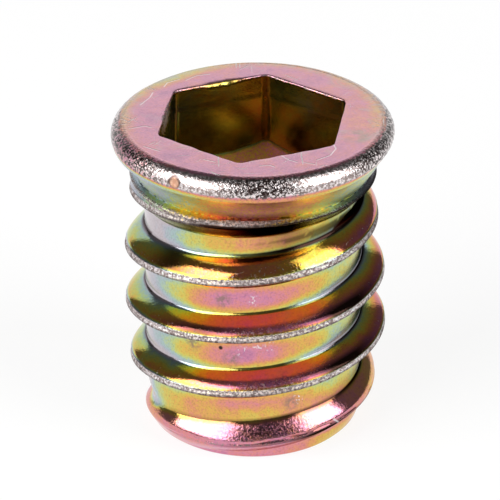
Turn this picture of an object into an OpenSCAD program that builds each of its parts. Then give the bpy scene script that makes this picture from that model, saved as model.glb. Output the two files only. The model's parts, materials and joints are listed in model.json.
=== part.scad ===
// Threaded insert for wood: a turned steel bush with a coarse outer wood thread,
// a rounded flange with a hex drive in it, and a machine thread right through.
// It is one piece. It stands on its tip with the flange up (+Z), in millimetres.

/* [Overall] */
// Length from the foot to the top of the flange
length = 15; // [12:0.5:30]

/* [Flange] */
// Diameter over the rounded rim
flange_d = 13; // [12.8:0.1:18]
// Radius of the rim's rounding, which also sets how deep its widest circle lies
rim_round = 0.7; // [0.3:0.05:0.9]
// Height from the neck groove up to the top of the flange
flange_h = 2.4; // [2.2:0.05:3.2]
// Diameter of the neck groove, where the underside of the flange ends
neck_d = 10.8; // [10.5:0.05:11.4]
// How deep the underside is hollowed, measured from a straight cone
hollow = 0.06; // [0.02:0.01:0.15]
// Diameter over the collar, the edge just below the neck groove
collar_d = 11.4; // [10.9:0.05:11.6]
// Height from the neck groove down to the thread's root, under the collar
collar_h = 0.9; // [0.6:0.05:1.2]

/* [Hex drive] */
// Size of the key, across its flats
hex_flats = 8; // [6.5:0.5:8]
// Play of the key in the socket, on that size
hex_play = 0; // [0:0.02:0.2]
// Depth of the socket at its six corners
hex_depth = 3.3; // [2:0.1:5]
// Slope of the socket's conical floor, in degrees below level
floor_slope = 30; // [10:1:45]

/* [Machine thread] */
// Nominal diameter of the screw that the insert takes
screw_d = 8; // [5:1:8]
// Pitch of that screw
screw_pitch = 1.25; // [0.8:0.05:1.5]
// How much wider than the screw the countersink in the foot is, on the radius
sink_extra = 0.1; // [0:0.05:0.3]

/* [Wood thread] */
// Diameter over the crests
thread_d = 12; // [11.6:0.1:15]
// Diameter at the root, between the turns
root_d = 10; // [9.8:0.1:10.2]
// Rise of the thread in one turn
thread_pitch = 2.87; // [2.4:0.01:4]
// Height of the flat on the crest
crest_flat = 0.36; // [0.1:0.02:0.6]
// Height that the flank above the crest takes
flank_up = 0.62; // [0.4:0.02:0.9]
// Height that the flank below the crest takes
flank_down = 0.5; // [0.3:0.02:0.8]
// Angle, seen from above, at which the crest line leaves the foot
start_angle = 116; // [0:1:359]
// Diameter over the crests at the foot, where the thread starts low
start_d = 10.9; // [10.4:0.1:11.4]
// Height at which the crests have grown to their full diameter
start_h = 5; // [2:0.1:7]
// Diameter over the crests of the last turn, under the flange
end_d = 11.44; // [10.8:0.02:11.6]
// Distance below the neck groove at which the crests start to shrink
end_from = 3.5; // [2.2:0.1:5]
// Distance below the neck groove at which they have shrunk to the last turn
end_to = 2.1; // [0.5:0.1:2.1]
// Height that the flank below the crest takes where the last turn runs out
end_flank = 0.9; // [0.5:0.05:1.2]
// Distance below the neck groove at which that flank starts to grow
end_grow = 0.8; // [0.5:0.1:2]

/* [Tip] */
// Outer diameter of the flat ring that the insert stands on
foot_d = 9.6; // [9.3:0.1:9.7]
// Slope of the tip's side, in degrees out from the axis
tip_slope = 31; // [15:1:45]

/* [Hidden] */
$fn = 96;
// Straight steps in one turn of the wood thread
turn_steps = 36;
// How far a cut runs on past the face that it opens
over = 1;
// How deep the wood thread's section is sunk into the body
sink_in = 0.4;
flange_r = flange_d / 2;
neck_r = neck_d / 2;
collar_r = collar_d / 2;
root_r = root_d / 2;
foot_r = foot_d / 2;
neck_z = length - flange_h;
// Height that the flanks above the crests take for each unit of radius
flank_slope = flank_up / (thread_d / 2 - root_r);
// Middle of the rim's rounding, as [radius, height]
rim_mid = [flange_r - rim_round, length - rim_round];
// Radius of the bore before the screw's thread is cut in it: the tap drill's
bore_r = (screw_d - screw_pitch + 0.05) / 2;
// Radius of the countersink at the foot
sink_r = screw_d / 2 + sink_extra;
// Radius out to the corners of the socket
hex_r = (hex_flats + hex_play) / 2 / cos(30);
// Height that the conical floor takes, from the corners in to the bore
floor_h = (hex_r - bore_r) * tan(floor_slope);
// Height of the socket's corners above the foot
socket_z = length - hex_depth;
// The crest line starts just far enough below the foot to start out of sight
crest_from = -(crest_flat / 2 + flank_up + 0.1);
// It ends inside the flange, where its last section is all above the neck groove
crest_to = neck_z + crest_flat / 2 + end_flank + 0.1;

// A value that goes straight from a to b while x goes from x0 to x1
function ramp(x, x0, x1, a, b) =
    a + (b - a) * min(1, max(0, (x - x0) / (x1 - x0)));

// Radius of the crest at height z: low at the foot, then full, then low again
function crest_r(z) = min(
    ramp(z, 0, start_h, start_d / 2, thread_d / 2),
    ramp(z, neck_z - end_from, neck_z - end_to, thread_d / 2, end_d / 2));

// Height of the flank below the crest, which grows as the last turn runs out
function lower_flank(z) = ramp(z, neck_z - end_grow, neck_z, flank_down, end_flank);

// Where a line from point p touches the outer side of a circle, in 2D
function touch(p, mid, r) = let (
    d = p - mid,
    a = atan2(d[1], d[0]) + acos(r / norm(d))
) mid + r * [cos(a), sin(a)];

// Middle of the circle that hollows the chord from p to q by the depth h
function hollow_mid(p, q, h, r) = let (
    d = (q - p) / norm(q - p)
) (p + q) / 2 + (r - h) * [d[1], -d[0]];

// Radius of that circle
function hollow_r(p, q, h) = (pow(norm(q - p) / 2, 2) + h * h) / (2 * h);

// One section of the wood thread with its crest at height z, as
// [radius, height] points: the flanks keep their slope down into the body
function ridge_section(z) = let (
    rc = crest_r(z),
    deeper = 1 + sink_in / (rc - root_r)
) [
    [root_r - sink_in, z - crest_flat / 2 - lower_flank(z) * deeper],
    [rc, z - crest_flat / 2],
    [rc, z + crest_flat / 2],
    [root_r - sink_in, z + crest_flat / 2 + flank_up * deeper]
];

// The body without its thread, turned from one profile
module turned_body() {
    neck = [neck_r, neck_z];
    rim = touch(neck, rim_mid, rim_round);
    cove = hollow_r(neck, rim, hollow);
    rotate_extrude() {
        difference() {
            union() {
                polygon([
                    [0, 0],
                    [foot_r, 0],
                    [root_r, (root_r - foot_r) / tan(tip_slope)],
                    [root_r, neck_z - collar_h],
                    [collar_r, neck_z - (collar_r - neck_r) * flank_slope],
                    neck,
                    rim,
                    rim_mid,
                    [rim_mid[0], length],
                    [0, length]
                ]);
                translate(rim_mid) circle(r = rim_round);
            }
            intersection() {
                translate(hollow_mid(neck, rim, hollow, cove)) circle(r = cove);
                translate([0, neck_z]) square([flange_r, flange_h]);
            }
        }
    }
}

// The wood thread's ridge, swept up a right-hand helix
module ridge() {
    steps = ceil((crest_to - crest_from) / thread_pitch * turn_steps);
    points = [
        for (i = [0 : steps])
        let (
            z = crest_from + i * thread_pitch / turn_steps,
            turned = start_angle + z / thread_pitch * 360
        )
        for (p = ridge_section(z)) [p[0] * cos(turned), p[0] * sin(turned), p[1]]
    ];
    sides = [
        for (i = [0 : steps - 1], j = [0 : 3])
        let (
            a = 4 * i + j,
            b = 4 * i + (j + 1) % 4
        )
        each [[a, b, a + 4], [b, b + 4, a + 4]]
    ];
    last = 4 * steps;
    ends = [[3, 2, 1, 0], [last, last + 1, last + 2, last + 3]];
    polyhedron(points, concat(sides, ends), convexity = 8);
}

// What the ridge may fill, between the tip's cone and the side of the neck groove
module ridge_limit() {
    top_r = thread_d / 2 + over;
    rotate_extrude() polygon([
        [0, 0],
        [foot_r, 0],
        [top_r, (top_r - foot_r) / tan(tip_slope)],
        [top_r, neck_z - (top_r - neck_r) * flank_slope],
        [neck_r, neck_z],
        [0, neck_z]
    ]);
}

// The hex socket, with the conical floor that a drill's point leaves
module hex_socket() {
    intersection() {
        translate([0, 0, socket_z - floor_h])
            cylinder(h = floor_h + hex_depth + over, r = hex_r, $fn = 6);
        rotate_extrude() polygon([
            [0, socket_z - floor_h],
            [bore_r, socket_z - floor_h],
            [hex_r, socket_z],
            [hex_r + over, socket_z],
            [hex_r + over, length + over],
            [0, length + over]
        ]);
    }
}

// The bore that the machine thread is cut in, with its countersink
module bore() {
    translate([0, 0, -over]) cylinder(h = length + over, r = bore_r);
    translate([0, 0, -over])
        cylinder(h = sink_r - bore_r + over, r1 = sink_r + over, r2 = bore_r);
}

module insert() {
    color([0.80, 0.62, 0.45])
    difference() {
        union() {
            turned_body();
            intersection() {
                ridge();
                ridge_limit();
            }
        }
        hex_socket();
        bore();
    }
}

insert();
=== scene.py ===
# %% [markdown]
# # A threaded insert, dressed from its solid
#
# This notebook takes the plain solid of a threaded insert for wood and gives
# it the looks of the real one: rolled crests, a battered rim, a hex socket, a
# fine machine thread inside, and a coat of yellow passivated zinc.
# Blender works in metres and the insert is small, so every size below is
# written in millimetres and is turned into metres in one place.

# %% Load the frame and read its sizes
import json
import math

import bmesh
import bpy
import numpy as np
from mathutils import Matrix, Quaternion, Vector

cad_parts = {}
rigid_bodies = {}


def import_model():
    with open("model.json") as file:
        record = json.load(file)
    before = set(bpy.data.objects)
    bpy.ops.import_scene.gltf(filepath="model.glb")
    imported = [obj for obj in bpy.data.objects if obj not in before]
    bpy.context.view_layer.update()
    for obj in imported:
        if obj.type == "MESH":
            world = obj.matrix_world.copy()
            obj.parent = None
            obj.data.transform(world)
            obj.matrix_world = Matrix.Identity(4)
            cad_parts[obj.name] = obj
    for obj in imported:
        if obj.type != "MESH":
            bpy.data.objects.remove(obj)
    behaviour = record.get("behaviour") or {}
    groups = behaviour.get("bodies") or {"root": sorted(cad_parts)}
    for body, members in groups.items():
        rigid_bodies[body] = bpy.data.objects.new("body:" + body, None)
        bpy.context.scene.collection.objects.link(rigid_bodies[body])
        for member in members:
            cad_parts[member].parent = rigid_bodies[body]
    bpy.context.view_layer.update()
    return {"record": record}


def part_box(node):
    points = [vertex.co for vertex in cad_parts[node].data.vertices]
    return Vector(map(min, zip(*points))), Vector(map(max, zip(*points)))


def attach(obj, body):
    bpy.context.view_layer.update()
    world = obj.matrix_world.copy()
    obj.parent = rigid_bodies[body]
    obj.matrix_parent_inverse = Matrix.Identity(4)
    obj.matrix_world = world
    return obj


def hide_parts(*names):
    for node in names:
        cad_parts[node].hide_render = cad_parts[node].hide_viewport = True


for default in list(bpy.data.objects):
    bpy.data.objects.remove(default)
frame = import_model()
MM = 0.001
low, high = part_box("insert")
length = high.z / MM
flange_r = (high.x - low.x) / 2 / MM
mounts = {m["name"]: m for m in frame["record"]["mounts"]}
bore_r = mounts["machine_thread"]["dims"]["r_mm"]
print("length", round(length, 3), "flange radius", round(flange_r, 3), "bore", bore_r)

# %% [markdown]
# ## Sizes of the insert
#
# The solid fixes the outer sizes. The rest are the sizes that the maker cuts
# and rolls, and they repeat those of the solid. Keeping them together as named
# values means that a formula further down can say which size it works from.

# %% Sizes in millimetres
root_r = 5.0  # the thread's root, between the turns
crest_r = 6.0  # a full crest
start_r, start_h = 5.45, 5.0  # the crest at the foot, and where it is full
end_r, end_from, end_to = 5.72, 3.5, 2.1  # the last turn, and where it shrinks
pitch = 2.87  # rise in one turn
start_angle = math.radians(116)  # where the crest line leaves the foot
crest_flat, flank_up, flank_down, end_flank = 0.36, 0.62, 0.5, 0.9
neck_r, neck_z = 5.4, length - 2.4
collar_r, collar_h = 5.7, 0.9  # the edge under the neck groove, and its height to the root
rim_round = 0.7
foot_r, tip_slope = 4.8, math.tan(math.radians(31))
foot_edge = 0.12  # rounding of the foot's outer edge
hex_half = 4.0  # half the size across the flats
hex_depth, floor_slope = 3.3, math.tan(math.radians(30))
screw_r, screw_pitch, sink_r = 4.0, 1.25, 4.1
print("neck at", round(neck_z, 2), "which is", round(neck_z / pitch, 1), "turns up")

# %% [markdown]
# ## A few tools for shapes made from formulas
#
# A turned and rolled part is a surface with a radius for every angle and
# height, so a formula describes it better than pushed and pulled polygons.
# Numpy works the formula out for thousands of points at once. `soft_min` and
# `soft_max` join two surfaces with a small fillet, as a rolling die leaves it.
# The others make gentle steps and humps, which also steer the finish later on.

# %% Soft joins, steps and humps
def soft_min(a, b, fillet):
    """The lower of two surfaces, joined by a fillet."""
    h = np.clip(0.5 + 0.5 * (b - a) / fillet, 0, 1)
    return b * (1 - h) + a * h - fillet * h * (1 - h)


def soft_max(a, b, fillet):
    return -soft_min(-a, -b, fillet)


def above(value, low, high):
    """0 under `low`, 1 over `high`, and straight in between."""
    return np.clip((value - low) / (high - low), 0, 1)


def below(value, low, high):
    """1 under `low`, 0 over `high`, and straight in between."""
    return 1 - above(value, low, high)


def ramp(value, low, high, at_low, at_high):
    return at_low + (at_high - at_low) * above(value, low, high)


def bell(value, wide):
    """1 where the value is 0, and falling to 0 on both sides of it."""
    return np.exp(-((value / wide) ** 2))


# %% Smooth random waviness
def waviness(angle, height, seed, around, along, count=24):
    """Sum of sine waves in random directions, about -1 to 1, closed around the axis."""
    rng = np.random.default_rng(seed)
    total = 0
    for _ in range(count):
        turns = rng.integers(-around, around + 1)
        rise = rng.uniform(-along, along)
        total = total + np.sin(turns * angle + rise * height + rng.uniform(0, 2 * math.pi))
    return total / math.sqrt(count)


# %% [markdown]
# ## The wood thread
#
# The coarse thread is rolled: two dies squeeze the bar, and metal flows up
# their flanks and meets at the crest, where it leaves a fine seam. Rolling is
# never quite round, so the crests stand out more on one side. To say where,
# angles are counted in degrees from the insert's front: minus to the left and
# plus to the right.

# %% Where the thread is out of round
front = math.radians(-111.84)  # the side that the camera looks at


def hill(angle, middle, wide):
    """1 at an angle from the front, given in degrees, and falling to 0 on both sides of it."""
    apart = np.degrees(angle - front) - middle
    return bell((apart + 180) % 360 - 180, wide)


def out_of_round(angle, z):
    """The thread swells on the right, and is rubbed flat and starts weakly on the left."""
    swelling = 0.21 * hill(angle, 99, 30) * bell(z - 4.7, 3.0)
    low_start = 0.25 * hill(angle, -88, 24) * bell(z - 2.1, 0.6)
    rubbed_flat = 0.22 * hill(angle, -113, 22) * (1 - 0.45 * bell(z - 3.3, 1.0))
    thin_start = 0.50 * hill(angle, -115, 28) * bell(z - 0.1, 0.6)
    return swelling - low_start - rubbed_flat - thin_start


def crest_radius(z):
    """The crest grows from the foot, and shrinks again under the flange."""
    growing = ramp(z, 0, start_h, start_r, crest_r)
    shrinking = ramp(z, neck_z - end_from, neck_z - end_to, crest_r, end_r)
    return np.minimum(growing, shrinking)


# %% [markdown]
# One turn of the thread is a ridge. Its lower flank is straight and meets the
# crest in a crisp edge. Its upper flank is rounded over, more so on the last
# turns, and the lowest turn is the widest. Three surfaces are joined for it:
# the flank above, the crest, and the flank below.

# %% The ridge of one turn
least_rise = 0.16  # a worn crest still stands this far above the root


def ridge_radius(angle, offset, crest_z):
    """Radius of the ridge, `offset` above a crest line that is at crest_z."""
    top = crest_radius(crest_z) + 0.012 * waviness(angle, crest_z, 11, 9, 1.2)
    top = top + out_of_round(angle, crest_z)
    rise = np.maximum(top - root_r, least_rise)
    high_turn = above(crest_z, neck_z - 5.4, neck_z - 3.9)
    low_turn = below(crest_z, 1.2, 1.9)
    shoulder = 0.25 + 0.08 * high_turn - 0.10 * low_turn
    upper_run = 0.555 + 0.035 * high_turn + 0.20 * low_turn
    upper_flank = top - (offset - shoulder) * rise / upper_run
    softness = 0.5 + 0.3 * high_turn + 0.4 * low_turn
    softness = softness - 0.38 * hill(angle, 45, 28) * (1 - high_turn) * (1 - low_turn)
    lower_run = ramp(crest_z, neck_z - 0.8, neck_z, flank_down, end_flank)
    lower_run = lower_run - 0.20 * hill(angle, 85, 32)
    lower_flank = top - (-offset - crest_flat / 2) * rise / lower_run
    ridge = soft_min(soft_min(upper_flank, top, softness * rise), lower_flank, 0.06)
    seam_z = 0.03 * waviness(angle, crest_z, 12, 14, 2.0)
    seam_depth = 0.05 * (1 + 0.6 * waviness(angle, crest_z, 13, 30, 3.0))
    return ridge - seam_depth * bell(offset - seam_z, 0.055)


# %% [markdown]
# At the lower end the ridge runs into a short cone, which centres the insert
# in its hole. At the upper end it dies into a low collar, and above the collar
# a groove is turned, so that the flange can sit flat on the wood.

# %% The whole outside, from the foot to the neck
def tip_radius(angle, z):
    """The cone at the tip, fuller towards the front, with a rounded lower edge."""
    cone = foot_r + z * tip_slope + 0.26 * hill(angle, 0, 52)
    cone = cone + 0.04 * hill(angle, 92, 18) - 0.05 * hill(angle, 50, 16)
    into_edge = 1 - above(z, 0, foot_edge)
    return cone - foot_edge * (1 - np.sqrt(np.clip(1 - into_edge**2, 0, 1)))


def thread_radius(angle, offset, crest_z):
    """Radius of the outside, `offset` above a crest line that is at crest_z."""
    z = crest_z + offset
    weak_start = 0.42 * hill(angle, -95, 26) * bell(z - 1.15, 0.45)
    body = soft_max(ridge_radius(angle, offset, crest_z), root_r, 0.10) - weak_start
    body = soft_min(body, tip_radius(angle, z), 0.25)
    collar_edge = neck_z - (collar_r - neck_r) * flank_up
    collar = ramp(z, neck_z - collar_h, collar_edge, root_r - 0.05, collar_r)
    body = np.where(z > neck_z - 1.5, soft_max(body, collar, 0.08), body)
    groove = neck_r + (neck_z - z) * (crest_r - root_r) / flank_up
    return soft_min(body, groove, 0.14)


# %% [markdown]
# ## One mesh from many sheets
#
# Every surface of the insert is a sheet of points, with columns around the
# axis and rows along it. The sheets share their edges, so merging the points
# that coincide turns them into one closed skin, like the single piece of steel.
# Each sheet belongs to a zone, by which the finish is chosen later.

# %% Sheets of points
columns = 216
skin = {"points": [], "faces": [], "zone": []}
zones = {"thread": 0, "flange": 1, "top": 2, "socket": 3, "floor": 4, "bore": 5, "foot": 6}


def add_sheet(radius, angle, z, zone, closed=True):
    """Adds a grid of points, rows by columns, and joins its two ends if it is closed."""
    rows, cols = radius.shape
    base = sum(len(p) for p in skin["points"])
    x, y = radius * np.cos(angle), radius * np.sin(angle)
    skin["points"].append(np.stack([x.ravel(), y.ravel(), z.ravel()], 1))
    row, col = np.meshgrid(np.arange(rows - 1), np.arange(cols if closed else cols - 1), indexing="ij")
    here, there = row * cols + col, row * cols + (col + 1) % cols
    quad = np.stack([here, there, there + cols, here + cols], -1)
    skin["faces"].append(quad.reshape(-1, 4) + base)
    skin["zone"].append(np.full(rows * cols, zones[zone]))
    print(zone, "sheet:", rows, "rows,", cols, "columns")


# %% [markdown]
# Rings and columns would cut across the crests and show as saw teeth. So the
# grid itself climbs like the thread: each row of points follows the helix, with
# as many columns as its turns need, and the rows that run past either end of
# the sheet are held there.

# %% Sheets that climb like a thread
def at_height(radius_at, angle, z, rise, phase):
    """Radius of a helical surface at an angle and a height, from the nearest crest."""
    crest_z = rise * (angle - phase) / (2 * math.pi)
    crest_z = crest_z + rise * np.round((z - crest_z) / rise)
    return radius_at(angle, z - crest_z, crest_z)


def helical_sheet(radius_at, rows, rise, phase, z_low, z_high, zone):
    """A sheet that climbs `rise` in one turn; rows are heights from its crest line."""
    turns_before = phase / (2 * math.pi)
    first = math.floor(((z_low - rise) / rise + turns_before) * columns)
    last = math.ceil(((z_high + rise) / rise + turns_before) * columns)
    col = np.arange(first, last + 1)
    crest_z = rise * (col / columns - turns_before)
    offset, crest = np.meshgrid(rows, crest_z, indexing="ij")
    turn = np.broadcast_to(2 * math.pi * (col % columns) / columns, offset.shape)
    z = crest + offset
    held = (z <= z_low) | (z >= z_high)
    z = np.clip(z, z_low, z_high)
    radius = np.where(held, at_height(radius_at, turn, z, rise, phase), radius_at(turn, offset, crest))
    add_sheet(radius, turn, z, zone, closed=False)


def ringed_sheet(radius_at, heights, rise, phase, zone):
    """The same helical surface, but with level rows, for its two ends."""
    turn, z = np.meshgrid(ring_angle, heights)
    radius = at_height(radius_at, turn, z, rise, phase)
    add_sheet(radius, turn, z, zone)
    return radius


ring_angle = 2 * math.pi * np.arange(columns) / columns

# %% [markdown]
# The rows of the thread's sheet are close together where the shape turns
# quickly, on the crest, and far apart on the straight flanks. Below `tip_top`
# and above `groove_foot` level rows take over, so that both ends are flat.

# %% The outside, from the foot to the neck
def spread(*stops):
    """Joins stretches of evenly spaced values, each given as (from, to, steps)."""
    parts = [np.linspace(a, b, n, endpoint=False) for a, b, n in stops]
    return np.append(np.concatenate(parts), stops[-1][1])


thread_rows = spread(
    (-pitch / 2, -0.95, 4),
    (-0.95, -0.2, 8),
    (-0.2, 0.2, 12),
    (0.2, 0.95, 10),
    (0.95, pitch / 2, 4),
)
tip_top, groove_foot = 0.5, neck_z - 0.4
helical_sheet(thread_radius, thread_rows, pitch, start_angle, tip_top, groove_foot, "thread")
foot_rows = foot_edge * (1 - np.cos(np.linspace(0, math.pi / 2, 5)))
foot_rows = np.append(foot_rows, np.linspace(foot_edge, tip_top, 8)[1:])
foot_ring_r = ringed_sheet(thread_radius, foot_rows, pitch, start_angle, "thread")[0]
neck_rows = np.append(np.linspace(groove_foot, neck_z - 0.06, 9), [neck_z - 0.03, neck_z])
neck_ring_r = ringed_sheet(thread_radius, neck_rows, pitch, start_angle, "thread")[-1]

# %% [markdown]
# ## The flange
#
# The flange is turned: a hollow underside, a full round rim and a flat top.
# A profile that is spun round the axis makes it. Points on the rim's rounding
# come from its circle, so they stay round however many there are, and the
# underside leaves the neck along the line that just touches that circle.

# %% Profile of the underside and the rim
rim_mid = np.array([flange_r - rim_round, length - rim_round])
neck = np.array([neck_r, neck_z])
to_neck = neck - rim_mid
touch_angle = math.atan2(to_neck[1], to_neck[0]) + math.acos(rim_round / np.linalg.norm(to_neck))
touch = rim_mid + rim_round * np.array([math.cos(touch_angle), math.sin(touch_angle)])
outward = np.linspace(0, 1, 15)
under = neck + np.outer(outward, touch - neck)
under_hollow = 0.06
under[:, 0] -= under_hollow * 4 * outward * (1 - outward)
arc = np.linspace(touch_angle, math.pi / 2, 34)[1:]
rounding = rim_mid + rim_round * np.stack([np.cos(arc), np.sin(arc)], 1)
profile = np.concatenate([under, rounding])
print("profile points", len(profile), "the rim is met at", np.round(touch, 2))

# %% [markdown]
# Small dents and a slow waviness keep the rim from looking like a perfect
# computer ring, because the inserts tumble against each other in the plating
# drum. One dent is a small round dimple, left by a sharp corner.

# %% Spin the profile, then batter the rim
turn, index = np.meshgrid(ring_angle, np.arange(len(profile)))
radius, height = profile[index, 0], profile[index, 1]
radius[0] = neck_ring_r
along_under = np.clip(index / (len(under) - 1), 0, 1)
radius = radius - 0.4 * hill(turn, -85, 35) * along_under * (1 - along_under)
fade = 6  # points over which the waviness starts and ends
on_rim = np.clip((index - len(under)) / fade, 0, 1) * np.clip((len(profile) - 1 - index) / fade, 0, 1)
radius = radius - 0.012 * on_rim * (1 + waviness(turn, height, 21, 16, 1.5)) / 2
lower_rim = bell(height - length + 1.15, 0.35)
radius = radius - 0.24 * lower_rim * hill(turn, 78, 26) - 0.15 * on_rim * hill(turn, -142, 34)
dimple_turn, dimple_z, dimple_wide, dimple_deep = front - math.radians(33), length - 0.58, 0.24, 0.10
around = ((turn - dimple_turn + math.pi) % (2 * math.pi) - math.pi) * flange_r
radius = radius - dimple_deep * bell(np.hypot(around, height - dimple_z), dimple_wide)
add_sheet(radius, turn, height, "flange")

# %% [markdown]
# The top ring has to turn from a circle into a hexagon. Each column of points
# runs straight from the rim to the socket's edge, and a high power mean of the
# six flats gives a hexagon with slightly round corners, as a worn punch cuts.
# The edge itself is broken by a small uneven rounding, which is larger on two
# sides where the punch dragged a burr along.

# %% Top ring and the edge of the socket
def hexagon(angle, half, power=70):
    """Radius of a hexagon with slightly round corners, `half` its size across the flats."""
    flats = np.arange(6) * math.pi / 3 + math.pi / 6
    reach = np.clip(np.cos(angle[..., None] - flats), 0, None) ** power
    widest = half * 1.135  # cuts off the sharp corners
    return np.minimum(half / reach.sum(-1) ** (1 / power), widest)


def rows_between(start, end, steps):
    """Rows of values that go evenly from one ring of values to another."""
    part = np.linspace(0, 1, steps)[:, None]
    return start * (1 - part) + end * part


edge_r = hexagon(ring_angle, hex_half)
edge_break = 0.06 * (1 + 0.5 * waviness(ring_angle, 0, 41, 25, 1))
chipped = 0.5 + 0.5 * waviness(ring_angle, 0, 42, 60, 1)
edge_break += 0.16 * hill(ring_angle, -160, 13) * (0.6 + 0.5 * chipped) + 0.13 * hill(ring_angle, -98, 20)
flat_r = rows_between(rim_mid[0], edge_r + edge_break, 9)
bend = np.linspace(0, math.pi / 2, 4)[1:, None]
edge_rows_r = edge_r + edge_break - edge_break * np.sin(bend)
edge_rows_z = length - edge_break * (1 - np.cos(bend))
top_z = np.concatenate([np.full_like(flat_r, length), edge_rows_z])
add_sheet(np.concatenate([flat_r, edge_rows_r]), ring_angle, top_z, "top")

# %% [markdown]
# ## The socket
#
# The key's socket is punched into a drilled hole, so its floor keeps the
# cone of the drill's point, and each flat wall ends in a curve where it meets
# that cone. One millimetre down, the walls have a step that is barely there but
# catches the light as a thin line. A bump could fake it, but the rows of points
# are there anyway, so one of them is simply pushed out.

# %% Socket walls and floor
hex_corner = hex_half / math.cos(math.pi / 6)
socket_z = length - hex_depth
bore_top = socket_z - (hex_corner - bore_r) * floor_slope
wall_foot = bore_top + (edge_r - bore_r) * floor_slope
down = np.linspace(0, 1, 31)[:, None]
wall_z = (length - edge_break) * (1 - down) + wall_foot * down
punch_step = ramp(wall_z, length - 1.05, length - 0.98, 0, 0.012)
add_sheet(edge_r + punch_step * np.clip(down * 12, 0, 1), ring_angle, wall_z, "socket")
thread_top = bore_top + 0.2
mouth_r = bore_r + (thread_top - bore_top) / floor_slope
floor_r = rows_between(edge_r, mouth_r, 6)
add_sheet(floor_r, ring_angle, bore_top + (floor_r - bore_r) * floor_slope, "floor")

# %% [markdown]
# ## The machine thread
#
# Below the socket the machine thread is cut right through to the foot, where
# a countersink leads the screw in. Nobody sees much of it, but a part in a
# library is looked at from every side, so it is a true helix too.

# %% The machine thread
def screw_radius(angle, offset, crest_z):
    """Radius of the bore: the thread's groove, the countersink and the socket's cone."""
    z = crest_z + offset
    deep = screw_r - bore_r
    cut_depth = deep * ramp(z, bore_top - 1.5, bore_top - 0.7, 1, 0)
    flat_half = screw_pitch / 16
    groove_half = flat_half + deep * math.tan(math.radians(30))
    cut = bore_r + cut_depth * np.clip((groove_half - np.abs(offset)) / (groove_half - flat_half), 0, 1)
    countersink = sink_r - z
    runout = bore_r + (z - bore_top) / floor_slope
    return np.maximum(np.maximum(cut, countersink), runout)


sink_top = sink_r - bore_r
screw_rows = np.linspace(-screw_pitch / 2, screw_pitch / 2, 13)
helical_sheet(screw_radius, screw_rows, screw_pitch, 0, sink_top, bore_top, "bore")
ringed_sheet(screw_radius, np.linspace(0, sink_top, 9), screw_pitch, 0, "bore")
ringed_sheet(screw_radius, np.linspace(bore_top, thread_top, 4), screw_pitch, 0, "bore")

# %% The ring that it stands on
foot_ring = rows_between(sink_r, foot_ring_r, 6)
add_sheet(foot_ring, ring_angle, 0 * foot_ring, "foot")

# %% [markdown]
# ## Joining the sheets
#
# Points that lie on top of each other are merged, which also removes the rows
# that were held at the foot and the neck. The normals are then turned outward.
# A skin without holes has two faces at every edge, and counting the edges that
# don't is a quick proof that it is closed.

# %% Build the mesh
same_place = 0.003  # points closer than this are one point
mesh = bpy.data.meshes.new("insert_dressed")
mesh.from_pydata((np.concatenate(skin["points"]) * MM).tolist(), [], np.concatenate(skin["faces"]).tolist())
zone_layer = mesh.attributes.new("zone", "FLOAT", "POINT")
zone_layer.data.foreach_set("value", np.concatenate(skin["zone"]).astype(np.float32))
insert = bpy.data.objects.new("insert_dressed", mesh)
bpy.context.scene.collection.objects.link(insert)
work = bmesh.new()
work.from_mesh(mesh)
bmesh.ops.remove_doubles(work, verts=work.verts, dist=same_place * MM)
bmesh.ops.recalc_face_normals(work, faces=work.faces)
open_edges = [e for e in work.edges if len(e.link_faces) != 2]
work.to_mesh(mesh)
work.free()
print("points", len(mesh.vertices), "faces", len(mesh.polygons), "open edges", len(open_edges))

# %% [markdown]
# Smooth shading hides the facets. Where two faces meet at a steep angle the
# edge has to stay sharp, as at the socket. The rolled outside has no sharp
# edges at all, however steep, so they are taken back there.

# %% Smooth faces and sharp edges
for polygon in mesh.polygons:
    polygon.use_smooth = True
mesh.set_sharp_from_angle(angle=math.radians(40))
on_rolled = [v.co.xy.length > 4.95 * MM and foot_edge * MM < v.co.z < neck_z * MM for v in mesh.vertices]
softened = 0
for edge in mesh.edges:
    if edge.use_edge_sharp and all(on_rolled[i] for i in edge.vertices):
        edge.use_edge_sharp = False
        softened += 1
print("edges softened on the rolled outside:", softened)

# %% [markdown]
# ## How thick the colour film is
#
# Yellow passivation leaves a clear film on the zinc, thinner than a wave of
# light is long. Where it is thin it looks silver or pale blue, then it turns
# green, yellow, orange, pink and purple as it grows. It could be painted on by
# hand, but it follows the shape, so formulas do it here: each point of the
# mesh gets a number, `film`, from 0 for a bare look to 1 for purple. First
# every point has to know where on the insert it lies.

# %% Where each point lies
count = len(mesh.vertices)
place = np.zeros(count * 3, np.float32)
mesh.vertices.foreach_get("co", place)
place = place.reshape(-1, 3) / MM
x, y, z = place.T.astype(float)
zone_of = np.zeros(count, np.float32)
mesh.attributes["zone"].data.foreach_get("value", zone_of)
on = {name: (zone_of == number).astype(float) for name, number in zones.items()}
on_thread = on["thread"]
angle, radius = np.arctan2(y, x), np.hypot(x, y)
side = angle - front  # 0 at the front, positive to the right
frontal, rightward = np.cos(side), np.sin(side)  # 1 at the front, and 1 at the right
crest_line = pitch * (angle - start_angle) / (2 * math.pi)
offset = z - crest_line - pitch * np.round((z - crest_line) / pitch)  # height above the nearest crest
cloud = waviness(angle, z, 31, 4, 0.9)
print("points in each zone:", {name: int(part.sum()) for name, part in on.items()})

# %% [markdown]
# In the thread, a valley, the flank above a crest and the crest itself take on
# different colours. The film is thick in the front of a valley and thin at its
# sides, and it thins out towards the flanks. The highest valley, under the
# collar, and the lowest one differ from the others.

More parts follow.
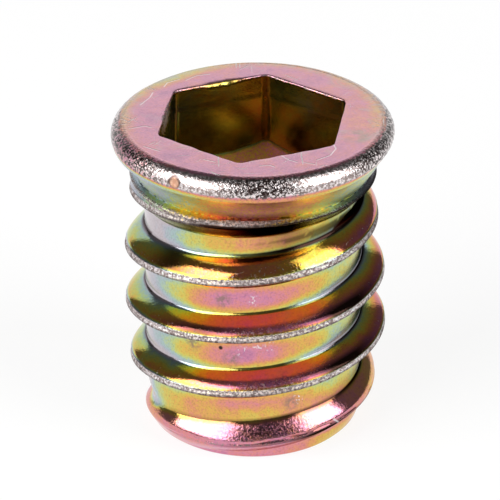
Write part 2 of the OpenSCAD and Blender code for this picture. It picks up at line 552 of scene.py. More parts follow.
# %% Film in the valleys of the thread
over_crest = offset % pitch  # height above the crest below
up_valley = over_crest - crest_flat / 2 - flank_up
down_valley = pitch - crest_flat / 2 - flank_down - over_crest
top_valley = above(z, 9.8, 10.5)
valley = 0.42 + 0.42 * np.cos(2 * side) + 0.05 * cloud
valley -= 0.26 * below(np.minimum(up_valley, down_valley), 0, 0.42) * (0.4 + 0.6 * above(frontal, 0, 1))
valley -= 0.15 * below(up_valley, 0.1, 0.55) * above(frontal, 0, 0.6)
valley -= 0.25 * top_valley
lowest = 0.53 + 0.18 * hill(angle, 32, 20) + 0.10 * hill(angle, -40, 15) + 0.05 * cloud
valley += (lowest - valley) * below(z, 2.4, 3.0) * above(frontal, 0.2, 0.6)
valley += 0.30 * above(rightward, 0.7, 1.0) + 0.2 * top_valley * above(rightward, 0.1, 0.5)
print("film in the valleys", np.round(np.percentile(valley, [5, 50, 95]), 2))

# %% [markdown]
# On an upper flank the film changes from root to crest, so two values are
# mixed by `up_flank`, which is 0 at the root and 1 at the crest. The lower
# flanks, the last turn under the collar and the swollen turn at the tip have a
# colour of their own.

# %% Film on the flanks, the last turn and the tip
full_crest = crest_radius(z)
up_flank = above(radius, root_r + 0.05, full_crest - 0.1)
high_flank = above(z, 8.0, 8.6)
flank_root = 0.22 + 0.54 * above(np.cos(side - math.radians(10)), 0.5, 1) ** 1.5
flank_root -= 0.12 * high_flank * hill(angle, 0, 60)
flank_crest = 0.69 + 0.23 * np.cos(side - math.radians(45))
flank_crest -= high_flank * (0.18 * hill(angle, 0, 60) + 0.26 * hill(angle, 30, 20))
flank = flank_root * (1 - up_flank) + flank_crest * up_flank + 0.04 * cloud
off_root = above(radius, root_r + 0.03, root_r + 0.12)
on_upper = above(offset, 0.1, 0.25) * off_root
on_lower = below(offset, -0.25, -0.1) * off_root
thread_film = valley + (flank - valley) * on_upper
thread_film += (0.5 + 0.2 * np.cos(2 * side) - thread_film) * on_lower
last_turn = above(z, neck_z - 0.95, neck_z - 0.6)
thread_film += (0.12 + 0.60 * hill(angle, -10, 42) - thread_film) * last_turn
first_turn = below(z - offset, 2.1, 2.6) * above(radius, root_r + 0.02, root_r + 0.15)
tip = np.maximum(first_turn, below(z, 0.9, 1.3))
tip_film = 0.82 + 0.05 * cloud - 0.22 * hill(angle, 82, 24)
tip_film -= 0.28 * hill(angle, 46, 20) * below(z, 0.5, 0.75)
thread_film += (tip_film - thread_film) * tip
print("film on the flanks", np.round(np.percentile(flank, [5, 50, 95]), 2))

# %% [markdown]
# The flange has a pale underside that turns gold at the front, and a pink rim
# and ring. Towards the back the ring's outer edge is thinner and looks gold.
# Inside, the bath had a hard time to get in and out, so the film is blotchy.

# %% Film on the flange, the socket and the bore
socket_edge = below(z, length - 0.02, length - 0.005) * on["top"]
outer_ring = above(radius, 5.3, 5.9)
under_film = 0.10 + 0.60 * hill(angle, 5, 42) + 0.10 * hill(angle, 55, 18) + 0.05 * cloud
rim_film = under_film + (0.86 - under_film) * above(z, length - 0.98, length - 0.78)
thinner_edge = 0.26 * outer_ring * below(frontal, -0.1, 0.6)
thinner_edge += 0.30 * hill(angle, -140, 22) * above(radius, 4.9, 5.4)
rim_film -= thinner_edge * above(z, length - 0.12, length - 0.02)
gold_burr = hill(angle, -160, 16) * socket_edge
top_film = 0.88 - thinner_edge - 0.10 * hill(angle, 95, 30) - 0.36 * gold_burr
on_cone = above(hexagon(angle, hex_half) - radius, 0.02, 0.16)
inside_film = 0.42 + 0.10 * cloud + 0.24 * on_cone
in_mouth = on["bore"] * above(z, bore_top - 0.7, bore_top - 0.1)
bore_film = 0.52 + 0.08 * cloud
films = {
    "thread": thread_film,
    "flange": rim_film,
    "top": top_film,
    "socket": inside_film,
    "floor": inside_film,
    "bore": bore_film + (inside_film - bore_film) * in_mouth,
    "foot": 0.75 + 0.10 * cloud,
}
film = sum(on[name] * values for name, values in films.items())
print("film from", round(float(film.min()), 2), "to", round(float(film.max()), 2))

# %% [markdown]
# ## Where the finish is worn
#
# More numbers steer the finish. `wear` is high where edges rub against other
# inserts in the drum, so that the film comes off in specks: on the crests and
# the seam along them, the collar's lip, the socket's edge, the rim, and one
# chipped wall of the socket.

# %% Wear
in_seam = below(np.abs(offset), 0.12, 0.16) * above(radius, full_crest - 0.30, full_crest - 0.22)
rubbed = np.maximum(above(radius, full_crest - 0.09, full_crest - 0.03), in_seam)
rubbed *= 1.35 * on_thread * above(z, 1.9, 2.3) * below(offset, 0.10, 0.18)
low_line = bell(offset + 0.1, 0.12) * on_thread * below(z, 1.5, 1.9)
lip = bell(z - neck_z + 0.22, 0.2) * on_thread * above(radius, 5.48, 5.56)
lip *= 0.3 + 0.7 * above(frontal, 0.4, 0.8) + 0.9 * hill(angle, -75, 28)
rim = above(z, length - 0.95, length - 0.72)
rim *= above(radius, flange_r - rim_round, flange_r - rim_round + 0.15)
battered = 1.6 * rim * above(radius, flange_r - 0.60, flange_r - 0.32) * (1 - 0.35 * hill(angle, -66, 24))
chips = 1.3 * on["socket"] * hill(angle, -98, 22) * above(z, length - 1.3, length - 0.4)
swollen = first_turn * on_thread
near_crest = (0.42 + 0.14 * hill(angle, 0, 50)) * on_thread
near_crest *= above(up_flank, 0.4, 0.9) * above(offset, 0, 0.1)
worn_edge = socket_edge * (1 - 0.6 * gold_burr)
worn_parts = [rubbed, lip, 0.8 * low_line, worn_edge, battered, 0.25 * swollen, chips, near_crest]
wear = np.maximum.reduce(worn_parts)

# %% [markdown]
# `peel` is high where the surface was left as it came out of the rolls and the
# bath, slightly lumpy like orange peel, and 0 where a tool cut it smooth.
# `shine` is high where rubbing has polished the metal. `matt` is high where it
# is rougher and grainier than elsewhere: under the flange, on the drilled cone,
# and along the front of the lower crests. `deep` is high where the film is
# richer in colour than on the rest.

# %% Peel, shine, matt and deep colour
# Where the lamps glint on the rim, the lumps are smoothed so the glints stay whole, and the painted dark
# specks further down stay off.
lamp_glint_zone = np.clip(1.6 * np.maximum(hill(angle, -26, 16), hill(angle, 33, 14)), 0, 1)
peel = rim * (1 - 0.6 * lamp_glint_zone) + swollen * (0.12 + 0.5 * hill(angle, 5, 20)) + rubbed + lip + chips
peel = np.clip(peel, 0, 1)
shine = np.clip(rim + swollen + 0.45 * on_upper * on_thread, 0, 1)
on_under = on["flange"] * below(z, length - 1.3, length - 0.9)
inside = on["socket"] + on["floor"] + in_mouth
low_turns = below(z, 8.2, 8.6)
front_edge = above(offset, 0.12, 0.2) * above(up_flank, 0.45, 0.8) * low_turns * on_thread
matt = on_under * (1 + hill(angle, -65, 30)) + inside * on_cone + 0.9 * front_edge * hill(angle, 8, 26)
deep = on_upper * on_thread * (1 - tip) + 0.5 * inside

# %% [markdown]
# ## Where shade is painted
#
# One more number darkens the colour and dims the reflections. Mostly it is
# painted shade: in the corners of the valleys, under the flange, the lip and
# the crests, low in valleys beside dark flanks, and over lamp glints on some
# flanks and on the swollen turn. Inside the socket it is partly painted shade
# and partly the brown bloom that the bath left. A part this small has few things
# round it to reflect, so without these places every flank would mirror a lamp
# from end to end, and it would look like a toy.

# %% Painted shade inside, under the flange and in the valleys, and bloom inside
blotches = above(waviness(angle, z, 55, 6, 2.2), 0.0, 0.9)
# Inside the socket: a little painted shade all over, and brown bloom in blotches.
painted_shade_and_stain = (0.10 + 0.40 * blotches) * inside * (1 - on_cone) * (1 - np.clip(chips, 0, 1))
# Painted shade under the flange, at the front and near the neck.
painted_shade_and_stain += 0.08 * on_under * above(frontal, 0.6, 0.9)
painted_shade_and_stain += 0.20 * on_under * below(z, neck_z + 0.2, neck_z + 0.5) * hill(angle, -15, 30)
# Painted shade: a nearly black band under the lip at the front, with a gap at the right.
under_lip = on_thread * above(z, neck_z - 1.08, neck_z - 1.0) * below(z, neck_z - 0.35, neck_z - 0.25)
painted_shade_and_stain += under_lip * (1 - hill(angle, 34, 9)) * hill(angle, 8, 32)
# Painted shade over a bright reflection on the last turn, at the front left.
painted_shade_and_stain += 0.45 * on_thread * above(z, neck_z - 0.45, neck_z - 0.3) * hill(angle, -22, 26)
# Painted shade on the right half of the highest valley, off the upper flanks.
right_of_top = above(z, 9.9, 10.4) * above(rightward, -0.05, 0.3)
painted_shade_and_stain += 0.48 * on_thread * right_of_top * (1 - on_upper) * (1 - under_lip)
# Painted shade low in the valleys on the right, where they would mirror the dark flanks.
right_of_low = above(rightward, 0.55, 0.9) * below(up_valley, 0.2, 0.8)
painted_shade_and_stain += 0.40 * on_thread * right_of_low * below(radius, 5.05, 5.15)

# %% Painted shade on the flanks and in the corners
# Painted shadow: a dark line under the edge of each crest.
under_crest = above(radius, full_crest - 0.12, full_crest - 0.06) * below(offset, -0.13, -0.05)
painted_shade_and_stain += 0.5 * on_thread * under_crest
# Painted shade in the corners where an upper flank meets the root, stronger towards the right.
corner = above(radius, root_r + 0.0005, root_r + 0.006) * below(radius, root_r + 0.06, root_r + 0.13)
corner *= above(offset, 0.1, 0.3) * (1 - tip) * on_thread
painted_shade_and_stain += (0.25 + 0.5 * above(side, -0.5, 0.3)) * corner
# Painted shade that covers lamp glints near the crests of the lower turns: the right lamp's, and the left
# lamp's above 4.4 mm.
near_edge = above(offset, 0.10, 0.17) * above(up_flank, 0.55, 0.85) * low_turns * (1 - tip)
glint_cover = 1.15 * hill(angle, 46, 22) + 0.8 * hill(angle, -25, 16) * above(z, 4.4, 4.9)
painted_shade_and_stain += on_thread * near_edge * glint_cover
# Painted shade over a lamp glint on the upper flanks of the high turns, at the left.
high_left = above(z, 8.6, 8.9) * below(z, 10.7, 11) * hill(angle, -42, 11)
painted_shade_and_stain += 0.85 * on_upper * on_thread * high_left
# Painted shade over a lamp glint on the swollen turn, just under its crest line.
painted_shade_and_stain += 0.7 * swollen * hill(angle, 36, 14) * below(offset, 0, 0.08)

# %% [markdown]
# The next number puts black specks into the pits of the rim and the crests:
# grime on the crests and the lip, but on the rim and at the front of the swollen
# turn they are painted dark reflections, left out where the lamps glint. `stain`
# is a grey patchy band on the ring, towards the back. All the numbers are stored
# on the points of the mesh, under names that the material can read.

# %% Grime and painted dark specks, stains, and storing the numbers
# Painted dark reflections in specks on the rim, kept off where the lamps glint.
grime_and_shade = 1.1 * rim * above(radius, flange_r - 0.65, flange_r - 0.3) * (1 - lamp_glint_zone)
# Grime on the crests and the lip.
grime_and_shade += 0.22 * np.clip(rubbed + lip, 0, 1)
# Painted dark reflections in specks at the front of the swollen turn.
grime_and_shade = np.maximum(grime_and_shade, 0.7 * swollen * above(offset, 0.05, 0.3) * hill(angle, 5, 20))
stain = outer_ring * above(z, length - 0.2, length - 0.02) * below(frontal, -0.3, 0.5)
finish = {"film": film, "wear": wear, "peel": peel, "shine": shine, "matt": matt}
finish.update({"deep": deep, "painted_shade_and_stain": painted_shade_and_stain, "grime_and_shade": grime_and_shade, "stain": stain})
for name, values in finish.items():
    layer = mesh.attributes.new(name, "FLOAT", "POINT")
    layer.data.foreach_set("value", values.astype(np.float32))
    print(name, "is", round(float(values.mean()), 2), "on average")

# %% [markdown]
# ## Short ways to add nodes
#
# A material is a net of nodes. Adding each one by hand takes many lines, so a
# small class keeps them short: every method adds a node and returns its output,
# which can then be fed to the next.

# %% Colours as they look on a screen
def tint(red, green, blue):
    """A colour as a screen shows it, 0 to 255, turned into the light that Blender mixes."""
    def light(v):
        v = v / 255
        return v / 12.92 if v <= 0.04045 else ((v + 0.055) / 1.055) ** 2.4
    return (light(red), light(green), light(blue), 1)


# %% Node helpers
class Sheet:
    """The nodes of one material."""

    def __init__(self, owner):
        self.nodes, self.links = owner.node_tree.nodes, owner.node_tree.links

    def feed(self, socket, value):
        if isinstance(value, bpy.types.NodeSocket):
            self.links.new(value, socket)
        else:
            socket.default_value = value

    def add(self, kind, inputs=None, **settings):
        node = self.nodes.new(kind)
        for key, value in settings.items():
            setattr(node, key, value)
        for key, value in (inputs or {}).items():
            self.feed(node.inputs[key], value)
        return node

    def math(self, operation, a, b=0.0, clamp=False):
        node = self.add("ShaderNodeMath", {0: a, 1: b}, operation=operation, use_clamp=clamp)
        return node.outputs[0]

    def plus(self, a, b):
        return self.math("ADD", a, b)

    def times(self, a, b):
        return self.math("MULTIPLY", a, b)

    def larger(self, a, b):
        return self.math("MAXIMUM", a, b)

    def number(self, name):
        """A number that is stored on the points of the mesh."""
        return self.add("ShaderNodeAttribute", attribute_name=name).outputs["Fac"]

    def noise(self, where, scale, detail=3.0, rough=0.5, warp=0.0):
        inputs = {"Vector": where, "Scale": scale, "Detail": detail, "Roughness": rough, "Distortion": warp}
        return self.add("ShaderNodeTexNoise", inputs).outputs["Fac"]

    def stretch(self, where, scale, turn=(0, 0, 0), shift=(0, 0, 0)):
        inputs = {"Vector": where, "Scale": scale, "Rotation": turn, "Location": shift}
        return self.add("ShaderNodeMapping", inputs).outputs["Vector"]

    def between(self, value, low, high, a=0.0, b=1.0):
        """`a` under `low`, `b` over `high`, and straight in between."""
        inputs = {"Value": value, "From Min": low, "From Max": high, "To Min": a, "To Max": b}
        return self.add("ShaderNodeMapRange", inputs).outputs["Result"]

    def patches(self, where, scale, detail, rough, low, high, a=0.0, b=1.0):
        """Noise that is `a` where it is under `low`, and `b` where it is over `high`."""
        return self.between(self.noise(where, scale, detail, rough), low, high, a, b)

    def mix(self, amount, a, b):
        node = self.add("ShaderNodeMix", data_type="RGBA")
        for key, value in (("Factor_Float", amount), ("A_Color", a), ("B_Color", b)):
            self.feed(next(i for i in node.inputs if i.identifier == key), value)
        return next(o for o in node.outputs if o.identifier == "Result_Color")

    def bump(self, height, depth, normal=None):
        """Bumps as deep as `depth` metres where height goes from 0 to 1."""
        inputs = {"Height": height, "Distance": depth, "Strength": 1.0}
        if normal:
            inputs["Normal"] = normal
        return self.add("ShaderNodeBump", inputs).outputs["Normal"]

    def near(self, where, spot, core, edge):
        """1 inside a ball of radius `core` round a spot, 0 outside radius `edge`."""
        away = self.add("ShaderNodeVectorMath", {0: where, 1: spot}, operation="DISTANCE")
        return self.between(away.outputs["Value"], core, edge, 1, 0)

    def near_line(self, where, start, end, core, edge):
        """1 closer than `core` to the line between two places, 0 further than `edge`."""
        def vector(operation, a, b):
            key = "Scale" if operation == "SCALE" else 1
            return self.add("ShaderNodeVectorMath", {0: a, key: b}, operation=operation).outputs
        start, along = Vector(start), Vector(end) - Vector(start)
        from_start = vector("SUBTRACT", where, start)[0]
        part = vector("DOT_PRODUCT", from_start, along / along.length_squared)["Value"]
        part = self.math("ADD", part, 0.0, clamp=True)
        away = vector("DISTANCE", from_start, vector("SCALE", along, part)[0])["Value"]
        return self.between(away, core, edge, 1, 0)


# %% [markdown]
# ## The passivated zinc
#
# A metal's colour is the colour of its reflections, so the film's tint is the
# base colour of a fully metallic shader. A thin film could also be worked out
# by physics, but a colour ramp that holds the film's tints in their order is
# easier to steer. Noise pushes the film number up and down first, which bends
# the bands of colour the way they bend on real plating.

# %% Colours of the film, by its number
film_tints = [
    (0.00, (196, 186, 192)),
    (0.12, (182, 184, 196)),
    (0.25, (168, 192, 190)),
    (0.38, (192, 206, 136)),
    (0.48, (214, 200, 100)),
    (0.58, (224, 180, 92)),
    (0.68, (226, 158, 112)),
    (0.78, (222, 143, 140)),
    (0.88, (214, 140, 165)),
    (1.00, (182, 122, 160)),
]


def film_color(n, where):
    """The film's tint at each point, mottled by noise and richer where `deep` is high."""
    clouds = n.between(n.noise(where, 0.8, 4, 0.55, 0.5), 0.25, 0.75, -0.10, 0.10)
    grain = n.patches(where, 7.0, 4, 0.75, 0.25, 0.75, -0.08, 0.08)
    coarse = n.patches(where, 9.0, 2, 0.6, 0.3, 0.7, -0.14, 0.14)
    grain = n.plus(grain, n.times(coarse, n.number("matt")))
    film = n.plus(n.number("film"), n.plus(clouds, grain))
    ramp_node = n.add("ShaderNodeValToRGB", {"Fac": film})
    stops = ramp_node.color_ramp.elements
    for i, (at, color) in enumerate(film_tints):
        stop = stops[i] if i < 2 else stops.new(at)
        stop.position, stop.color = at, tint(*color)
    richer = n.between(n.number("deep"), 0, 1, 1, 1.32)
    return n.add("ShaderNodeGamma", {"Color": ramp_node.outputs["Color"], "Gamma": richer}).outputs[0]


# %% [markdown]
# Where the film is rubbed it goes in specks, and bare zinc shows, bright with
# grey grains. Fine scratches on the ring are the peaks of a noise that is drawn
# out along them, at four angles, and another noise leaves most of the ring free.

# %% Colours of metal, dirt, painted shade and marks
zinc_bright, zinc_grey = tint(244, 236, 236), tint(158, 142, 138)
# Black for grime and painted dark reflections, brown freckles, and brown for painted shade and bloom, with
# a dim tint for the reflections in it.
grime_and_shade_black, freckle_brown, shade_and_stain_brown = tint(56, 40, 38), tint(90, 66, 58), tint(48, 33, 28)
shade_and_stain_glance = tint(40, 28, 24)
stain_grey, ring_pale, scratch_white = tint(184, 172, 166), tint(236, 218, 226), tint(250, 242, 242)
pit_dark, smudge_brown, chalk_white = tint(60, 48, 46), tint(142, 122, 112), tint(240, 232, 232)
# The grey of a patch on the ring, and painted shade along the dimple's upper edge.
patch_grey, dimple_shade = tint(176, 166, 152), tint(84, 64, 58)
copper_dark, copper_light = tint(190, 120, 92), tint(236, 200, 172)
white = (1, 1, 1, 1)

# %% Worn specks and fine scratches
def worn_specks(n, where):
    wear = n.number("wear")
    raised = n.plus(n.noise(where, 8.0, 3, 0.7), n.times(wear, 0.30))
    return n.times(n.between(raised, 0.72, 0.84), n.between(wear, 0.0, 0.2))


def scratches(n, where, turn, seed):
    """Short straight scratches at one angle."""
    turned = n.stretch(where, (1, 1, 1), (0, 0, math.radians(turn)))
    drawn = n.stretch(turned, (0.7, 11, 0.7), (0, 0, 0), (seed, seed, seed))
    return n.between(n.noise(drawn, 1.0, 0), 0.765, 0.82)


def fine_scratches(n, where, on_top):
    lines = scratches(n, where, 20, 3)
    for turn, seed in ((65, 8), (110, 15), (150, 4)):
        lines = n.larger(lines, scratches(n, where, turn, seed))
    return n.times(lines, n.times(on_top, n.patches(where, 0.5, 2, 0.5, 0.46, 0.60)))


def bare_zinc(n, where):
    grains = n.patches(where, 8.0, 3, 0.7, 0.42, 0.56)
    return n.mix(grains, zinc_bright, zinc_grey)


# %% [markdown]
# ## Marks of handling
#
# Longer scratches are bent lines through a few places on the ring, and one
# deep scratch crosses the swollen turn at the tip. Placing them one by one makes
# this one insert, and not just any. The places are given in millimetres from
# the axis, to the right and towards the front.

# %% Long scratches
def on_ring(right, forward):
    """The point of the top ring at a distance to the right and towards the front."""
    x = right * -math.sin(front) + forward * math.cos(front)
    return (x, right * math.cos(front) + forward * math.sin(front), length)


swollen_r = 5.4  # about the radius of the swollen turn


def on_tip(turn, height):
    """The point of the swollen turn at an angle from the front, in degrees, and a height."""
    away = np.hypot((side - math.radians(turn)) * swollen_r, z - height)
    return tuple(place[np.argmin(np.where(on_thread > 0, away, np.inf))])


bent_scratches = [
    [(3.55, 2.50), (3.72, 3.16), (3.46, 3.82), (2.84, 4.30)],
    [(1.19, 3.75), (1.63, 4.30), (1.95, 4.50)],
    [(-4.90, 2.87), (-4.20, 3.35)],
    [(-5.60, 1.07), (-4.90, 0.79), (-4.60, 0.95)],
    [(2.30, 4.55), (2.75, 4.72)],
    [(-5.15, -1.40), (-4.72, -2.20), (-4.60, -2.70)],
    [(-4.10, -3.30), (-3.95, -3.75), (-3.40, -4.10)],
    [(-3.10, -4.00), (-2.60, -4.50), (-2.00, -4.65)],
    [(0.30, 4.85), (0.75, 4.80), (0.95, 4.95)],
    [(-2.20, 4.20), (-1.70, 4.45)],
]
deep_scratch = [on_tip(42, 1.53), on_tip(45.5, 1.2), on_tip(49, 0.87)]
print("long scratches", len(bent_scratches), "and a deep one from", np.round(deep_scratch[0], 2))


def all_scratches(n, where, lines):
    """Adds the long scratches to the fine ones."""
    for bent in bent_scratches:
        bends = [on_ring(*bend) for bend in bent]
        for start, end in zip(bends, bends[1:]):
            lines = n.larger(lines, n.near_line(where, start, end, 0.015, 0.045))
    for start, end in zip(deep_scratch, deep_scratch[1:]):
        lines = n.larger(lines, n.near_line(where, start, end, 0.03, 0.07))
    return lines


# %% [markdown]
# In the valleys the film has brown smudges, chalky specks and one small pit
# that is nearly black. On the ring lies a grey patch. Each is a ball of
# influence round a place on the surface, broken up by noise so that it doesn't
# look like a round sticker.

# %% Smudges, specks, a pit and a patch
def on_root(turn, height):
    """The point of the thread's root at an angle from the front, in degrees, and a height."""
    turn = front + math.radians(turn)
    return (root_r * math.cos(turn), root_r * math.sin(turn), height)


pit = on_root(-17.5, 5.69)
smudges = [(-16.5, 8.2), (-12, 5.15), (-34, 5.6), (20, 2.75)]
chalky = [(0, 8.25), (2, 5.75), (-6, 5.6), (9, 5.85), (24, 2.9)]
grey_patch = on_ring(4.75, 1.90)


def add_spots(n, where, base):
    base = n.mix(n.near(where, pit, 0.07, 0.12), base, pit_dark)
    patchy = n.patches(where, 4.0, 3, 0.6, 0.38, 0.55, 0, 0.75)
    chalk = n.patches(where, 7.0, 2, 0.6, 0.56, 0.62, 0, 0.9)
    for spot in smudges:
        smudge = n.times(n.near(where, on_root(*spot), 0.15, 0.5), patchy)
        base = n.mix(smudge, base, smudge_brown)
    for spot in chalky:
        speck = n.times(n.near(where, on_root(*spot), 0.10, 0.35), chalk)
        base = n.mix(speck, base, chalk_white)
    cloudy = n.patches(where, 1.6, 3, 0.6, 0.36, 0.56, 0, 0.7)
    return n.mix(n.times(n.near(where, grey_patch, 0.3, 0.9), cloudy), base, patch_grey)


# %% [markdown]
# The ring carries grey stains, and a broader stained band along its back edge.
# The dimple in the rim has lost its bright zinc: it is streaky and looks like
# copper, under a painted shade along its upper edge.

# %% Stains on the ring, and the dimple
def add_stains(n, where, base, on_top):
    stain = n.times(on_top, n.between(n.noise(where, 0.42, 4, 0.6, 1.5), 0.56, 0.66, 0, 0.5))
    edge_stain = n.times(n.number("stain"), n.patches(where, 2.6, 3, 0.65, 0.36, 0.6, 0, 0.8))
    base = n.mix(n.larger(stain, edge_stain), base, stain_grey)
    return n.mix(n.times(on_top, 0.22), base, ring_pale)


dimple_r = 6.42  # just inside the widest radius of the rim
dimple_x, dimple_y = dimple_r * math.cos(dimple_turn), dimple_r * math.sin(dimple_turn)


def add_dimple(n, where, base, dimple):
    # Painted shade along the dimple's upper edge.
    dark_edge = n.near(where, (dimple_x, dimple_y, dimple_z + 0.07), 0.28, 0.36)
    base = n.mix(n.times(dark_edge, 0.85), base, dimple_shade)
    streaks = n.noise(n.stretch(where, (14, 14, 2)), 1.0, 1)
    return n.mix(dimple, base, n.mix(streaks, copper_dark, copper_light))


# %% [markdown]
# ## Gloss and fine relief
#
# Plated metal mirrors what is round it, with a slight blur that varies from
# place to place. Worn places are rougher, except where they are polished. The
# relief is far too fine to model, so bump nodes make it: the lumps of the
# plating, a faint overall grain, and the scratches as shallow grooves.

# %% Gloss
def roughness(n, where, bare, dimple):
    shine = n.number("shine")
    smooth = n.patches(where, 2.5, 3, 0.5, 0.3, 0.7, 0.13, 0.22)
    rough = n.plus(smooth, n.times(bare, n.between(shine, 0, 1, 0.42, 0.08)))
    rough = n.plus(rough, n.times(n.number("matt"), 0.22))
    rough = n.larger(n.math("SUBTRACT", rough, n.times(shine, 0.24)), 0.04)
    return n.plus(rough, n.times(dimple, 0.25))


# %% Relief
def relief(n, where, lines):
    lumps = n.times(n.noise(where, 7.5, 3, 0.7), n.number("peel"))
    normal = n.bump(lumps, 0.044 * MM)
    normal = n.bump(n.noise(where, 10.0, 3, 0.6), 0.004 * MM, normal)
    return n.bump(lines, -0.004 * MM, normal)


# %% [markdown]
# Now the layers are put on top of each other, from the film up: bare zinc in
# the worn specks, grime and painted dark specks in the pits, painted shade,
# stains, scratches and spots.
# The object's own coordinates are turned into millimetres first, so that each
# size in the noise and in the places above is a real one.

# %% The material
def passivated_zinc():
    material = bpy.data.materials.new("passivated_zinc")
    material.use_nodes = True
    n = Sheet(material)
    shader = n.nodes["Principled BSDF"]
    shader.inputs["Metallic"].default_value = 1.0
    where = n.stretch(n.add("ShaderNodeTexCoord").outputs["Object"], (1000, 1000, 1000))
    height = n.add("ShaderNodeSeparateXYZ", {0: where}).outputs["Z"]
    on_top = n.between(height, length - 0.05, length - 0.01)
    lines = fine_scratches(n, where, on_top)
    bare = n.larger(worn_specks(n, where), n.times(lines, 0.5))
    base = n.mix(bare, film_color(n, where), bare_zinc(n, where))
    # Black specks: grime on the crests and the lip, painted dark reflections on the rim and the swollen
    # turn.
    grime_and_shade_specks = n.times(n.patches(where, 8.0, 3, 0.7, 0.47, 0.53), n.number("grime_and_shade"))
    base = n.mix(grime_and_shade_specks, base, grime_and_shade_black)
    freckles = n.patches(where, 11.0, 2, 0.6, 0.5, 0.72, 0, 0.25)
    base = n.mix(freckles, base, freckle_brown)
    # Painted shade, with brown bloom inside the socket.
    base = n.mix(n.number("painted_shade_and_stain"), base, shade_and_stain_brown)
    base = add_stains(n, where, base, on_top)
    lines = all_scratches(n, where, lines)
    base = n.mix(n.times(lines, 0.6), base, scratch_white)
    base = add_spots(n, where, base)
    dimple = n.near(where, (dimple_x, dimple_y, dimple_z), 0.18, 0.28)
    n.feed(shader.inputs["Base Color"], add_dimple(n, where, base, dimple))
    # The same painted shade also dims the reflections, through the specular tint.
    glance = n.mix(n.number("painted_shade_and_stain"), white, shade_and_stain_glance)
    n.feed(shader.inputs["Specular Tint"], glance)
    n.feed(shader.inputs["Roughness"], roughness(n, where, bare, dimple))
    n.feed(shader.inputs["Normal"], relief(n, where, lines))
    print("passivated zinc has", len(n.nodes), "nodes")
    return material


# %% Finish the insert and tell the frame about it
insert.data.materials.append(passivated_zinc())
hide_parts("insert")
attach(insert, "root")

# %% [markdown]
# ## The camera
#
# A part this small is pictured from close by, and near things look bent when
# the lens is wide. So the camera stands 185 mm away with a long lens, a little
# to the left, and looks down by 28 degrees, steeply enough to see into the socket.
# The lens follows from the width that has to fit into the view.

# %% Camera
aim = Vector((0, 0, 8.19 * MM))
azimuth, elevation = math.radians(-21.84), math.radians(27.97)
distance = 184.56 * MM
seen_width = 23.1503 * MM  # what fits across the view at that distance
sideways, roll = -0.151 * MM, math.radians(-0.21)
level_out = Vector((math.sin(azimuth), -math.cos(azimuth), 0))
away = level_out * math.cos(elevation) + Vector((0, 0, math.sin(elevation)))
camera_data = bpy.data.cameras.new("camera")
camera = bpy.data.objects.new("camera", camera_data)
bpy.context.scene.collection.objects.link(camera)
camera.location = aim + away * distance + Vector((math.cos(azimuth), math.sin(azimuth), 0)) * sideways
camera.rotation_mode = "QUATERNION"
camera.rotation_quaternion = (-away).to_track_quat("-Z", "Y") @ Quaternion((0, 0, 1), roll)
camera_data.sensor_width = 36
camera_data.lens = camera_data.sensor_width * distance / seen_width
camera_data.clip_start, camera_data.clip_end = 0.01, 10
bpy.context.scene.camera = camera
print("lens", round(camera_data.lens), "mm")

# %% [markdown]
# ## The studio
#
# Bare metal shows its surroundings more than itself. On a plain white table it
# would be white all over, so the room is planned by what the flanks mirror: two
# upright softboxes give the bright bands at the left and the right of each
# turn, and the gap between them gives the rich dark colours in the middle.
# The right one is in two parts, because its upper half has to be weaker.

# %% Lamps
def studio_place(turn, up, far):
    """A place `far` metres away: `turn` degrees right of the camera's side, `up` degrees above level."""
    turn, up = azimuth + math.radians(turn), math.radians(up)
    return Vector((math.sin(turn) * math.cos(up), -math.cos(turn) * math.cos(up), math.sin(up))) * far


def softbox(name, turn, far, wide, foot, top, glow):
    """An upright lamp, from height `foot` to `top`; `glow` is how bright its face looks."""
    tall = top - foot
    data = bpy.data.lights.new(name, "AREA")
    data.shape, data.size, data.size_y = "RECTANGLE", wide, tall
    data.energy = glow * math.pi * wide * tall
    lamp = bpy.data.objects.new(name, data)
    bpy.context.scene.collection.objects.link(lamp)
    lamp.location = studio_place(turn, 0, far)
    lamp.rotation_mode = "QUATERNION"
    lamp.rotation_quaternion = (-lamp.location).to_track_quat("-Z", "Y")
    lamp.location.z = (foot + top) / 2
    print(name, round(data.energy, 2), "watts")


softbox("softbox_left", turn=-57.5, far=0.30, wide=0.34, foot=0.04, top=0.40, glow=4.4)
softbox("softbox_right_low", turn=62, far=0.30, wide=0.22, foot=0.05, top=0.34, glow=4.4)
softbox("softbox_right_high", turn=62, far=0.30, wide=0.22, foot=0.34, top=0.60, glow=2.0)

# %% [markdown]
# The table and the backdrop have to look white without lighting the insert from
# below. Their paint is diffuse and glows a little. Light Path tells whether a
# ray comes straight from the camera or from a mirror of the metal, and those
# rays mostly see a plain white instead. A quarter of the real paint is left in
# the mix, so that the insert's shadow still falls on the table.

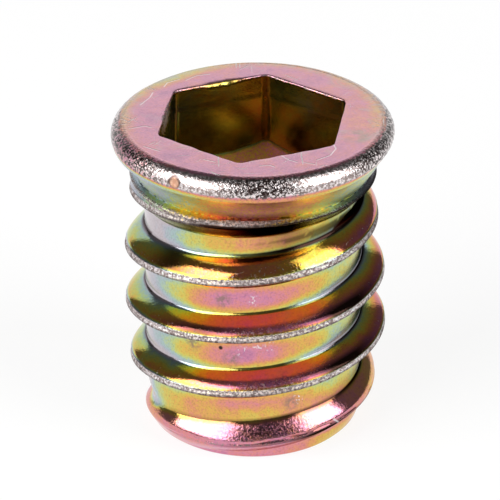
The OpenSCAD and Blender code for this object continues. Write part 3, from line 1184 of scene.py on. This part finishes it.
# %% White paint that hardly lights anything
def glowing(name, grey, glow, seen):
    """Diffuse paint that glows a little, and looks nearly as bright as `seen` to camera and metal."""
    material = bpy.data.materials.new(name)
    material.use_nodes = True
    n = Sheet(material)
    n.nodes.remove(n.nodes["Principled BSDF"])
    paint = n.add("ShaderNodeBsdfDiffuse", {"Color": (grey, grey, grey, 1)})
    own = n.add("ShaderNodeEmission", {"Color": white, "Strength": glow})
    plain = n.add("ShaderNodeEmission", {"Color": white, "Strength": seen})
    both = n.add("ShaderNodeAddShader", {0: paint.outputs[0], 1: own.outputs[0]})
    rays = n.add("ShaderNodeLightPath").outputs
    mirrored = n.larger(rays["Is Glossy Ray"], rays["Is Transmission Ray"])
    direct = n.larger(rays["Is Camera Ray"], mirrored)
    parts = {0: n.times(direct, 0.75), 1: both.outputs[0], 2: plain.outputs[0]}
    mixed = n.add("ShaderNodeMixShader", parts)
    n.feed(n.nodes["Material Output"].inputs["Surface"], mixed.outputs[0])
    return material


def stage_piece(name, points, faces, paint):
    """A piece of the studio, which isn't part of the object."""
    data = bpy.data.meshes.new(name)
    data.from_pydata(points, [], faces)
    data.materials.append(paint)
    piece = bpy.data.objects.new(name, data)
    bpy.context.scene.collection.objects.link(piece)
    print(name, "has", len(faces), "faces")
    return piece


# %% The table
half = 0.8
corners = [(-half, -half, 0), (half, -half, 0), (half, half, 0), (-half, half, 0)]
white_table = glowing("white_table", grey=0.8, glow=0.12, seen=1.06)
floor = stage_piece("floor", corners, [(0, 1, 2, 3)], white_table)
floor.location.z = -0.01 * MM  # just under the insert, so that the two don't flicker

# %% [markdown]
# The backdrop is a piece of a sphere behind the insert, half a metre away. The
# ring and the tops of the flanks face upward, so from the camera they mirror
# what stands behind the insert, and a curved sheet gives them an even light. A
# flat wall would do too, but its edges would show in the rounded rim.

# %% The backdrop
sweep_rows, sweep_cols = 10, 40
sweep_from, sweep_wide, sweep_high, sweep_far = 150, 68, 36, 0.5  # degrees, and metres
sweep_points, sweep_faces = [], []
for row in range(sweep_rows + 1):
    for col in range(sweep_cols + 1):
        turn = sweep_from + sweep_wide * col / sweep_cols
        sweep_points.append(studio_place(turn, sweep_high * row / sweep_rows, sweep_far))
for row in range(sweep_rows):
    for col in range(sweep_cols):
        a = row * (sweep_cols + 1) + col
        sweep_faces.append((a, a + 1, a + sweep_cols + 2, a + sweep_cols + 1))
white_backdrop = glowing("white_backdrop", grey=0.3, glow=0.82, seen=0.9)
stage_piece("backdrop", sweep_points, sweep_faces, white_backdrop)

# %% [markdown]
# The rest of the room is a dim even light, which keeps shadows from going
# black. The Standard view shows colours as they are written, with no film look.

# %% World and view
world = bpy.data.worlds.new("studio")
bpy.context.scene.world = world
world.use_nodes = True
background = world.node_tree.nodes["Background"]
background.inputs["Color"].default_value = white
background.inputs["Strength"].default_value = 0.12
bpy.context.scene.view_settings.view_transform = "Standard"
print("view", bpy.context.scene.view_settings.view_transform)
